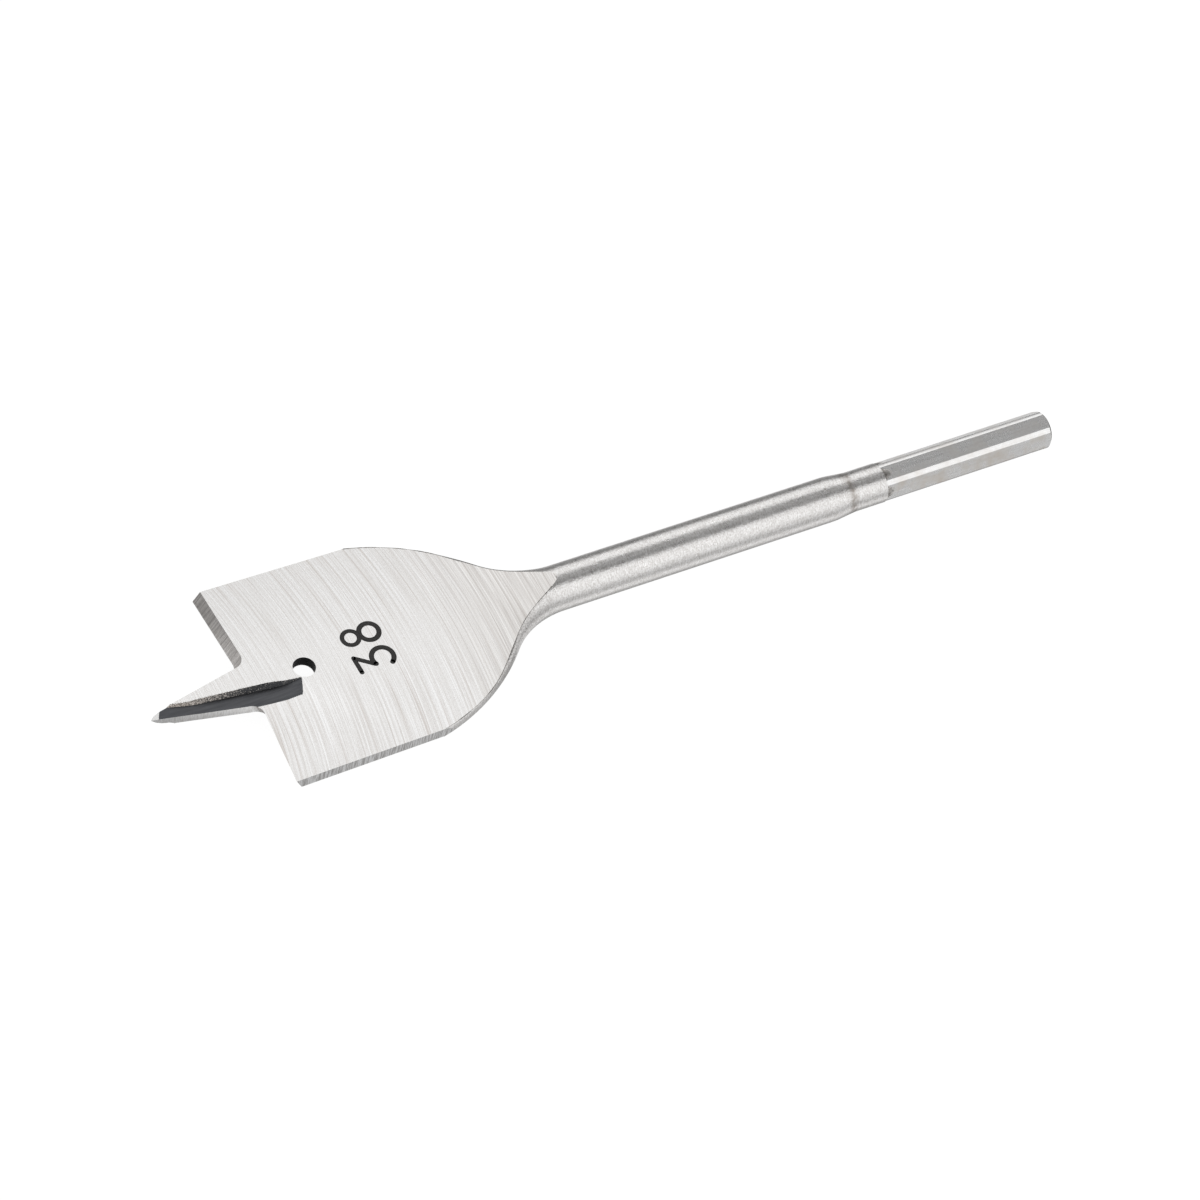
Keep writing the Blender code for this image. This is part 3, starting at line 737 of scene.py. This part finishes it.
def drawn_steel():
    """Cold-drawn steel: grey and nearly smooth, with die lines along it and faint, mottled patches of
    warmer grey, strongest on the flats that face down."""
    material, tree, shader, place = new_metal("drawn_hex_steel")
    die_lines = stretched_noise(tree, place, (6.0 * MM, 0.3 * MM, 0.3 * MM), 3.0)
    mottle = noise(tree, place, 0.45 * MM, 3.0)
    stains = noise(tree, place, 2.6 * MM, 4.0)
    both = computed(tree, "ADD", die_lines, mottle)
    shade = ranged(tree, both, 0.75, 1.25)
    grey = mixed(tree, shade, colour("F3F2F1"), colour("FFFFFF"))
    # The warmer patches are weighted towards the flats that face down.
    facing = add_node(tree, "ShaderNodeNewGeometry")
    up = axis(tree, facing.outputs["Normal"], "Z")
    lower = ranged(tree, up, 0.2, 0.9, 0.75, 0.25)
    blotches = ranged(tree, stains, 0.42, 0.68)
    spread = computed(tree, "MULTIPLY", blotches, lower)
    stained = mixed(tree, spread, grey, colour("E4DACE"))
    gloss = ranged(tree, stains, 0.3, 0.7, 0.24, 0.32)
    relief = bump(tree, both, 0.15, 0.006 * MM)
    feed(tree, shader, {"Base Color": stained, "Roughness": gloss, "Normal": relief})
    return material


def sawn_end_steel():
    """The cut-off end and its chamfer: dull and dark grey, with saw marks right across."""
    material, tree, shader, place = new_metal("sawn_end_steel")
    marks = stretched_noise(tree, place, (2.0 * MM, 3.0 * MM, 0.25 * MM), 3.0)
    grey = mixed(tree, marks, colour("6E6A67"), colour("9A9693"))
    relief = bump(tree, marks, 0.5, 0.02 * MM)
    feed(tree, shader, {"Base Color": grey, "Normal": relief, "Roughness": 0.45})
    return material


drawn_finish = drawn_steel()
bar_length = HEX_LENGTH + CLEAR
hex_corner = HEX_ACROSS_FLATS / 2 / cos(pi / 6)
hex_points = []
for i in range(6):
    angle = HEX_TURN + i * pi / 3
    hex_points.append((hex_corner * cos(angle), hex_corner * sin(angle)))
along_x = Matrix(((0, 0, 1), (1, 0, 0), (0, 1, 0))).to_euler()
hex_bar = from_the_tip("hex_bar", plate("hex_bar", hex_points, bar_length / 2 + CLEAR, drawn_finish))
hex_bar.rotation_euler = along_x
hex_bar.location.x = -bar_length / 2
rounded = COLLAR_RADIUS - HEX_CORNER_CLEARANCE
bm = bmesh.new()
profile = [
    bm.verts.new((radius, 0, along))
    for radius, along in (
        (0, 0), (rounded - END_CHAMFER, 0), (rounded, -END_CHAMFER),
        (rounded, -bar_length), (0, -bar_length),
    )
]
for first, second in zip(profile, profile[1:]):
    bm.edges.new((first, second))
bmesh.ops.spin(bm, geom=bm.verts[:] + bm.edges[:], axis=(0, 0, 1), cent=(0, 0, 0), angle=2 * pi,
               steps=ROUND_STEPS, use_merge=True)
bmesh.ops.remove_doubles(bm, verts=bm.verts, dist=SLIVER)
bmesh.ops.recalc_face_normals(bm, faces=bm.faces)
rounding = to_mesh("hex_rounding", bm, drawn_finish, sawn_end_steel())
for face in rounding.polygons:
    if face.center.z > -END_CHAMFER:
        face.material_index = 1
rounding_cutter = from_the_tip("hex_rounding", rounding)
rounding_cutter.rotation_euler = along_x
rounding_cutter.location.x = 0
round_corners = hex_bar.modifiers.new("round_corners", "BOOLEAN")
round_corners.operation = "INTERSECT"
round_corners.solver = "EXACT"
round_corners.material_mode = "TRANSFER"
round_corners.object = rounding_cutter
cut(hex_bar, "UNION")


# The finished bit
# All the cuts become one closed skin of steel, which is set smooth except along its ground and
# drawn edges. It stands for the solid of the whole bit.
SHARP_ANGLE = radians(12)
finished = bpy.data.meshes.new_from_object(bit.evaluated_get(bpy.context.evaluated_depsgraph_get()))
finished.transform(Matrix.Translation((-LENGTH, 0, 0)))
for cutter in [modifier.object for modifier in bit.modifiers] + [rounding_cutter]:
    bpy.data.objects.remove(cutter, do_unlink=True)
bpy.data.objects.remove(bit, do_unlink=True)
# The cuts leave slivers thinner than a thousandth of a millimetre, which are closed up here.
bm = bmesh.new()
bm.from_mesh(finished)
bmesh.ops.remove_doubles(bm, verts=bm.verts, dist=SLIVER)
bmesh.ops.dissolve_degenerate(bm, dist=SLIVER, edges=bm.edges)
bm.to_mesh(finished)
bm.free()
finished.shade_smooth()
finished.set_sharp_from_angle(angle=SHARP_ANGLE)
steel_bit = bpy.data.objects.new("steel_bit", finished)
bpy.context.scene.collection.objects.link(steel_bit)
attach(steel_bit, "root")
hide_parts("spade_bit")


# The grinding burr
# The cup wheel leaves a wire edge 0.1 mm thick where its faces end along the forged sides, which
# looks like a thin dark line, and crumbs of scale and steel cling to the flutes' walls.
BURR_RADIUS = 0.075 * MM
BURR_END_FROM_TIP = 69.0 * MM
FAR_BURR_END_FROM_TIP = 58.0 * MM
BURR_PATCH = 3.0 * MM
BURR_SIDES = 6
CRUMB_SPACING = 0.11 * MM
CRUMB_SIZE = 0.085 * MM
CRUMB_SPREAD = 0.10 * MM
CRUMB_SEED = 7


def burr_steel(name, dark, light):
    """Torn steel with scale in it: dull, dark and brownish, with lighter crumbs."""
    material, tree, shader, place = new_metal(name)
    specks = noise(tree, place, 0.3 * MM, 2.0)
    shade = ranged(tree, specks, 0.4, 0.65)
    brown = mixed(tree, shade, colour(dark), colour(light))
    feed(tree, shader, {"Base Color": brown, "Roughness": 0.6})
    return material


def edges_between(name, finishes, wanted):
    """The bit's edges that lie between two finishes and are wanted by where they are, as a mesh."""
    numbers = {finished.materials.find(finish.name) for finish in finishes}
    bm = bmesh.new()
    bm.from_mesh(finished)
    others = []
    for edge in bm.edges:
        middle = (edge.verts[0].co + edge.verts[1].co) / 2
        if {face.material_index for face in edge.link_faces} != numbers or not wanted(middle):
            others.append(edge)
    bmesh.ops.delete(bm, geom=bm.faces[:], context="FACES_ONLY")
    bmesh.ops.delete(bm, geom=others, context="EDGES")
    bmesh.ops.delete(bm, geom=[corner for corner in bm.verts if not corner.link_edges], context="VERTS")
    return to_mesh(name, bm)


def grown(name, mesh, tree, settings):
    """A plain mesh piece that a Geometry Nodes tree grows on edges, with the tree's inputs by name."""
    edges = bpy.data.objects.new(name, mesh)
    bpy.context.scene.collection.objects.link(edges)
    modifier = edges.modifiers.new(name, "NODES")
    modifier.node_group = tree
    for socket in tree.interface.items_tree:
        if socket.name in settings:
            modifier[socket.identifier] = settings[socket.name]
    graph = bpy.context.evaluated_depsgraph_get()
    made = bpy.data.meshes.new_from_object(edges.evaluated_get(graph))
    bpy.data.objects.remove(edges, do_unlink=True)
    piece = bpy.data.objects.new(name, made)
    bpy.context.scene.collection.objects.link(piece)
    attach(piece, "root")
    return piece


def geometry_tree(name, output, inputs):
    """An empty Geometry Nodes tree, and the node that gives its inputs, each a name and a kind."""
    tree = bpy.data.node_groups.new(name, "GeometryNodeTree")
    for label, kind in inputs:
        tree.interface.new_socket(label, in_out="INPUT", socket_type="NodeSocket" + kind)
    tree.interface.new_socket(output, in_out="OUTPUT", socket_type="NodeSocketGeometry")
    return tree, add_node(tree, "NodeGroupInput")


def end_tree(tree, output, shape, finish):
    """Makes the tree's instances real, sets their material and puts them out."""
    solid = add_node(tree, "GeometryNodeRealizeInstances", {"Geometry": shape})
    coated = add_node(tree, "GeometryNodeSetMaterial", {
        "Geometry": solid.outputs["Geometry"], "Material": finish,
    })
    add_node(tree, "NodeGroupOutput", {output: coated.outputs["Geometry"]})


def wire_edge_tree(finish):
    """A thin wire along each run of edges, thick in patches and nearly gone between them."""
    tree, given = geometry_tree("wire_edge", "Wire", (
        ("Edges", "Geometry"), ("Wire radius", "Float"), ("Wire sides", "Int"), ("Patches", "Float"),
    ))
    path = add_node(tree, "GeometryNodeMeshToCurve", {"Mesh": given.outputs["Edges"]})
    section = add_node(tree, "GeometryNodeCurvePrimitiveCircle", {
        "Resolution": given.outputs["Wire sides"], "Radius": given.outputs["Wire radius"],
    })
    patches = add_node(tree, "ShaderNodeTexNoise", {"Scale": given.outputs["Patches"], "Detail": 3.0})
    swell = ranged(tree, patches.outputs["Fac"], 0.35, 0.6, 0.3, 1.0)
    wire = add_node(tree, "GeometryNodeCurveToMesh", {
        "Curve": path.outputs["Curve"], "Profile Curve": section.outputs["Curve"],
        "Scale": swell, "Fill Caps": True,
    })
    end_tree(tree, "Wire", wire.outputs["Mesh"], finish)
    return tree


def crumbs_tree(finish):
    """Angular crumbs of many sizes, scattered beside each run of edges."""
    tree, given = geometry_tree("crumbs", "Crumbs", (
        ("Edges", "Geometry"), ("Spacing", "Float"), ("Crumb size", "Float"), ("Spread", "Float"),
        ("Seed", "Int"),
    ))
    path = add_node(tree, "GeometryNodeMeshToCurve", {"Mesh": given.outputs["Edges"]})
    places = add_node(tree, "GeometryNodeCurveToPoints", {
        "Curve": path.outputs["Curve"], "Length": given.outputs["Spacing"],
    }, mode="LENGTH")
    aside = add_node(tree, "FunctionNodeRandomValue", {
        0: (-1.0, -1.0, -0.3), 1: (1.0, 1.0, 0.1), "Seed": given.outputs["Seed"],
    }, data_type="FLOAT_VECTOR")
    shift = add_node(tree, "ShaderNodeVectorMath", {
        0: aside.outputs[0], "Scale": given.outputs["Spread"],
    }, operation="SCALE")
    moved = add_node(tree, "GeometryNodeSetPosition", {
        "Geometry": places.outputs["Points"], "Offset": shift.outputs[0],
    })
    chip = add_node(tree, "GeometryNodeMeshIcoSphere", {
        "Radius": given.outputs["Crumb size"], "Subdivisions": 1,
    })
    turn = add_node(tree, "FunctionNodeRandomValue", {
        0: (0.0, 0.0, 0.0), 1: (2 * pi, 2 * pi, 2 * pi), "Seed": given.outputs["Seed"],
    }, data_type="FLOAT_VECTOR")
    size = add_node(tree, "FunctionNodeRandomValue", {
        0: (0.3, 0.3, 0.2), 1: (1.2, 0.9, 0.6), "Seed": given.outputs["Seed"],
    }, data_type="FLOAT_VECTOR")
    scattered = add_node(tree, "GeometryNodeInstanceOnPoints", {
        "Points": moved.outputs["Geometry"], "Instance": chip.outputs["Mesh"],
        "Rotation": turn.outputs[0], "Scale": size.outputs[0],
    })
    end_tree(tree, "Crumbs", scattered.outputs["Instances"], finish)
    return tree


def burr_side(middle):
    """Each face keeps its burr as far as the shank only on the side where the wheel leaves it."""
    leaving = middle.y * middle.z < 0
    return middle.x + LENGTH < (BURR_END_FROM_TIP if leaving else FAR_BURR_END_FROM_TIP)


forged_finish = finished.materials["blasted_tool_steel"]
forged_edges = edges_between("wire_edge", (forged_finish, ground_finish), burr_side)
wire_finish = burr_steel("burr_steel", "7D7A77", "B4B0AC")
wire_edge = grown("wire_edge", forged_edges, wire_edge_tree(wire_finish), {
    "Wire radius": BURR_RADIUS, "Wire sides": BURR_SIDES, "Patches": 1 / BURR_PATCH,
})
flute_edges = edges_between("flute_crumbs", (shaded_wall_finish, ground_finish), lambda middle: True)
crumb_finish = burr_steel("crumb_steel", "35322F", "A59A90")
flute_crumbs = grown("flute_crumbs", flute_edges, crumbs_tree(crumb_finish), {
    "Spacing": CRUMB_SPACING, "Crumb size": CRUMB_SIZE, "Spread": CRUMB_SPREAD, "Seed": CRUMB_SEED,
})


# The printed number
# The diameter in millimetres, printed on the blade with a pad in black ink about 0.01 mm thick. Its
# strokes have one width and round ends.
INK_THICKNESS = 0.012 * MM
LAYER_STEP = 0.001 * MM
STROKE_WIDTH = 0.80 * MM
STROKE_STEPS = 48
DOT_CORNERS = 32


def arc(centre, radius, start, end):
    """Points round a centre, in degrees from the hex end's side towards +Y."""
    points = []
    for i in range(STROKE_STEPS + 1):
        angle = radians(start + (end - start) * i / STROKE_STEPS)
        points.append((centre[0] + radius * cos(angle), centre[1] + radius * sin(angle)))
    return points


# Each stroke: its points in millimetres from the tip and across, its share of the stroke width,
# and whether it closes on itself
strokes = (
    (arc((38.62, 2.49), 1.61, 0, 360)[:-1], 1.05, True),
    (arc((35.34, 2.40), 1.36, 0, 360)[:-1], 0.93, True),
    (((34.17, -4.21), (34.08, -1.30)), 0.95, False),
    (((34.08, -1.30), (36.80, -3.45)), 0.95, False),
    (arc((38.56, -2.64), 1.79, 209, -54), 1.05, False),
)


def printing_ink():
    """Matt black pad-printing ink, slightly grey and grainy where the ground lines show through."""
    material = bpy.data.materials.new("black_printing_ink")
    material.use_nodes = True
    tree = material.node_tree
    shader = tree.nodes["Principled BSDF"]
    place = add_node(tree, "ShaderNodeTexCoord").outputs["Object"]
    grain = noise(tree, place, 0.2 * MM, 2.0)
    black = mixed(tree, grain, colour("232221"), colour("3A3837"))
    gloss = ranged(tree, grain, 0.0, 1.0, 0.5, 0.7)
    feed(tree, shader, {"Base Color": black, "Roughness": gloss})
    return material


def print_strokes(finish):
    """Lays a flat ribbon of ink along each path, scaled by the path's radius, and sets a round dot
    of ink on the ends of the open ones."""
    tree, given = geometry_tree("print_strokes", "Print", (
        ("Strokes", "Geometry"), ("Stroke width", "Float"), ("Ink thickness", "Float"),
        ("Dot corners", "Int"),
    ))
    level = add_node(tree, "GeometryNodeSetCurveNormal", {"Curve": given.outputs["Strokes"]}, mode="Z_UP")
    share = add_node(tree, "GeometryNodeInputRadius")
    section = add_node(tree, "GeometryNodeCurvePrimitiveQuadrilateral", {
        "Width": given.outputs["Stroke width"], "Height": given.outputs["Ink thickness"],
    })
    ribbon = add_node(tree, "GeometryNodeCurveToMesh", {
        "Curve": level.outputs["Curve"], "Profile Curve": section.outputs["Curve"],
        "Scale": share.outputs["Radius"], "Fill Caps": True,
    })
    half_width = computed(tree, "DIVIDE", given.outputs["Stroke width"], 2.0)
    dot = add_node(tree, "GeometryNodeMeshCylinder", {
        "Vertices": given.outputs["Dot corners"], "Radius": half_width,
        "Depth": given.outputs["Ink thickness"],
    })
    closed = add_node(tree, "GeometryNodeInputSplineCyclic")
    open_path = add_node(tree, "FunctionNodeBooleanMath", {0: closed.outputs["Cyclic"]}, operation="NOT")
    path_end = add_node(tree, "GeometryNodeCurveEndpointSelection")
    open_end = add_node(tree, "FunctionNodeBooleanMath", {
        0: open_path.outputs[0], 1: path_end.outputs["Selection"],
    }, operation="AND")
    dots = add_node(tree, "GeometryNodeInstanceOnPoints", {
        "Points": level.outputs["Curve"], "Selection": open_end.outputs[0],
        "Instance": dot.outputs["Mesh"], "Scale": share.outputs["Radius"],
    })
    whole = add_node(tree, "GeometryNodeJoinGeometry")
    tree.links.new(ribbon.outputs["Mesh"], whole.inputs["Geometry"])
    tree.links.new(dots.outputs["Instances"], whole.inputs["Geometry"])
    end_tree(tree, "Print", whole.outputs["Geometry"], finish)
    return tree


paths = bpy.data.curves.new("number_strokes", "CURVE")
paths.dimensions = "3D"
for order, (points, share, closes) in enumerate(strokes):
    spline = paths.splines.new("POLY")
    spline.points.add(len(points) - 1)
    # Each stroke lies a hair above the last, so that no two share a surface where they cross.
    level = HALF_THICKNESS + INK_THICKNESS / 4 + LAYER_STEP * order
    for point, (x, y) in zip(spline.points, points):
        point.co = (x * MM - LENGTH, y * MM, level, 1)
        point.radius = share
    spline.use_cyclic_u = closes
grown("printed_number", paths, print_strokes(printing_ink()), {
    "Stroke width": STROKE_WIDTH, "Ink thickness": INK_THICKNESS, "Dot corners": DOT_CORNERS,
})


# The floor, the studio and the camera
# A matt white floor under the bit and a white room that lights it softly, darker in bands
# overhead along the bit. For the steel's reflections only, the floor glows in grey, white and
# dark bands where cards and a cloth would lie: painted reflections, which the camera doesn't see.
FLOOR_SIZE = 3.0
WHITE_SHARE = 0.8
WHITE_STRENGTH = 1.16
# Painted reflection: how bright the floor glows in the steel, as distance across the bit in
# millimetres, and brightness
PAINTED_FLOOR_REFLECTION = (
    (-40, 0.80), (-28, 0.50), (-11, 0.44), (-8, 1.0), (-6, 0.95), (-4, 0.34), (3, 0.30), (5, 0.72),
    (11, 0.72), (20, 0.10), (40, 0.10),
)
# How much of the floor's look in the steel is that painted reflection
PAINTED_REFLECTION_SHARE = 0.75
# The camera's sensor and lens in millimetres, and how it stands: its axes, then its place
SENSOR_WIDTH = 36.0
FOCAL_LENGTH = 129.623
CAMERA_STAND = (
    (0.87235475, 0.28792190, -0.39509259, -0.362290),
    (-0.45975545, 0.75792019, -0.46279792, -0.325739),
    (0.16619898, 0.58536994, 0.79354894, 0.550570),
    (0, 0, 0, 1),
)


def stepped_tones(tree, value, tones, unit):
    """Greys that follow a list of places, in the given unit, and brightnesses."""
    first, last = tones[0][0], tones[-1][0]
    reach = ranged(tree, value, first * unit, last * unit)
    ramp = add_node(tree, "ShaderNodeValToRGB", {"Fac": reach})
    ramp.color_ramp.interpolation = "EASE"
    for i, (place, brightness) in enumerate(tones):
        position = (place - first) / (last - first)
        stop = ramp.color_ramp.elements[i] if i < 2 else ramp.color_ramp.elements.new(position)
        stop.position = position
        stop.color = (brightness, brightness, brightness, 1.0)
    return ramp.outputs["Color"]


def floor_paint():
    """Matt white paint. The camera sees it white, with the bit's soft shadow kept. For the steel it also
    glows in grey, white and dark bands across the bit: painted reflections of cards and a cloth."""
    material = bpy.data.materials.new("matt_white_floor")
    material.use_nodes = True
    tree = material.node_tree
    tree.nodes.clear()
    ray = add_node(tree, "ShaderNodeLightPath")
    place = add_node(tree, "ShaderNodeTexCoord").outputs["Object"]
    ends = axis(tree, place, "Y")
    # Painted reflection: the bands that glossy rays see on the floor
    painted_reflection = stepped_tones(tree, ends, PAINTED_FLOOR_REFLECTION, MM)
    for_camera = computed(tree, "MULTIPLY", ray.outputs["Is Camera Ray"], WHITE_SHARE)
    share = computed(tree, "MULTIPLY_ADD", ray.outputs["Is Glossy Ray"], PAINTED_REFLECTION_SHARE, for_camera)
    glow = mixed(tree, ray.outputs["Is Camera Ray"], painted_reflection, colour("FFFFFF"))
    strength = ranged(tree, ray.outputs["Is Camera Ray"], 0.0, 1.0, 1.0, WHITE_STRENGTH)
    matt = add_node(tree, "ShaderNodeBsdfDiffuse", {"Color": colour("F6F6F6")})
    white = add_node(tree, "ShaderNodeEmission", {"Color": glow, "Strength": strength})
    both = add_node(tree, "ShaderNodeMixShader", {0: share, 1: matt.outputs[0], 2: white.outputs[0]})
    add_node(tree, "ShaderNodeOutputMaterial", {"Surface": both.outputs[0]})
    return material


bm = bmesh.new()
bmesh.ops.create_grid(bm, x_segments=1, y_segments=1, size=FLOOR_SIZE)
bmesh.ops.translate(bm, verts=bm.verts, vec=(0, 0, cad_low.z))
floor = bpy.data.objects.new("floor", to_mesh("floor", bm, floor_paint()))
bpy.context.scene.collection.objects.link(floor)

# How bright the room is round the bit's axis: degrees from straight up towards +Y, and brightness
ROOM = (
    (-90, 0.78), (-75, 0.97), (-55, 1.0), (-28, 1.0), (-18, 0.28), (-12, 0.07), (-6, 0.11),
    (2, 0.42), (8, 0.48), (14, 0.22), (20, 0.06), (24, 0.06), (27, 1.0), (34, 1.0), (60, 1.0),
    (70, 0.95), (80, 0.10), (90, 0.06),
)
room = bpy.data.worlds.new("white_room")
bpy.context.scene.world = room
room.use_nodes = True
tree = room.node_tree
tree.nodes.clear()
way = add_node(tree, "ShaderNodeTexCoord").outputs["Generated"]
parts_of_way = add_node(tree, "ShaderNodeSeparateXYZ", {"Vector": way})
lean = computed(tree, "ARCTAN2", parts_of_way.outputs["Y"], parts_of_way.outputs["Z"])
lit = stepped_tones(tree, lean, ROOM, radians(1))
ray = add_node(tree, "ShaderNodeLightPath")
seen = mixed(tree, ray.outputs["Is Camera Ray"], lit, colour("FFFFFF"))
glow = add_node(tree, "ShaderNodeBackground", {"Color": seen, "Strength": 1.0})
add_node(tree, "ShaderNodeOutputWorld", {"Surface": glow.outputs[0]})

camera_data = bpy.data.cameras.new("camera")
camera_data.sensor_width = SENSOR_WIDTH
camera_data.lens = FOCAL_LENGTH
camera_data.clip_start = 0.01
camera_data.clip_end = 10.0
camera = bpy.data.objects.new("camera", camera_data)
bpy.context.scene.collection.objects.link(camera)
camera.matrix_world = Matrix(CAMERA_STAND)
bpy.context.scene.camera = camera
bpy.context.scene.view_settings.view_transform = "Standard"
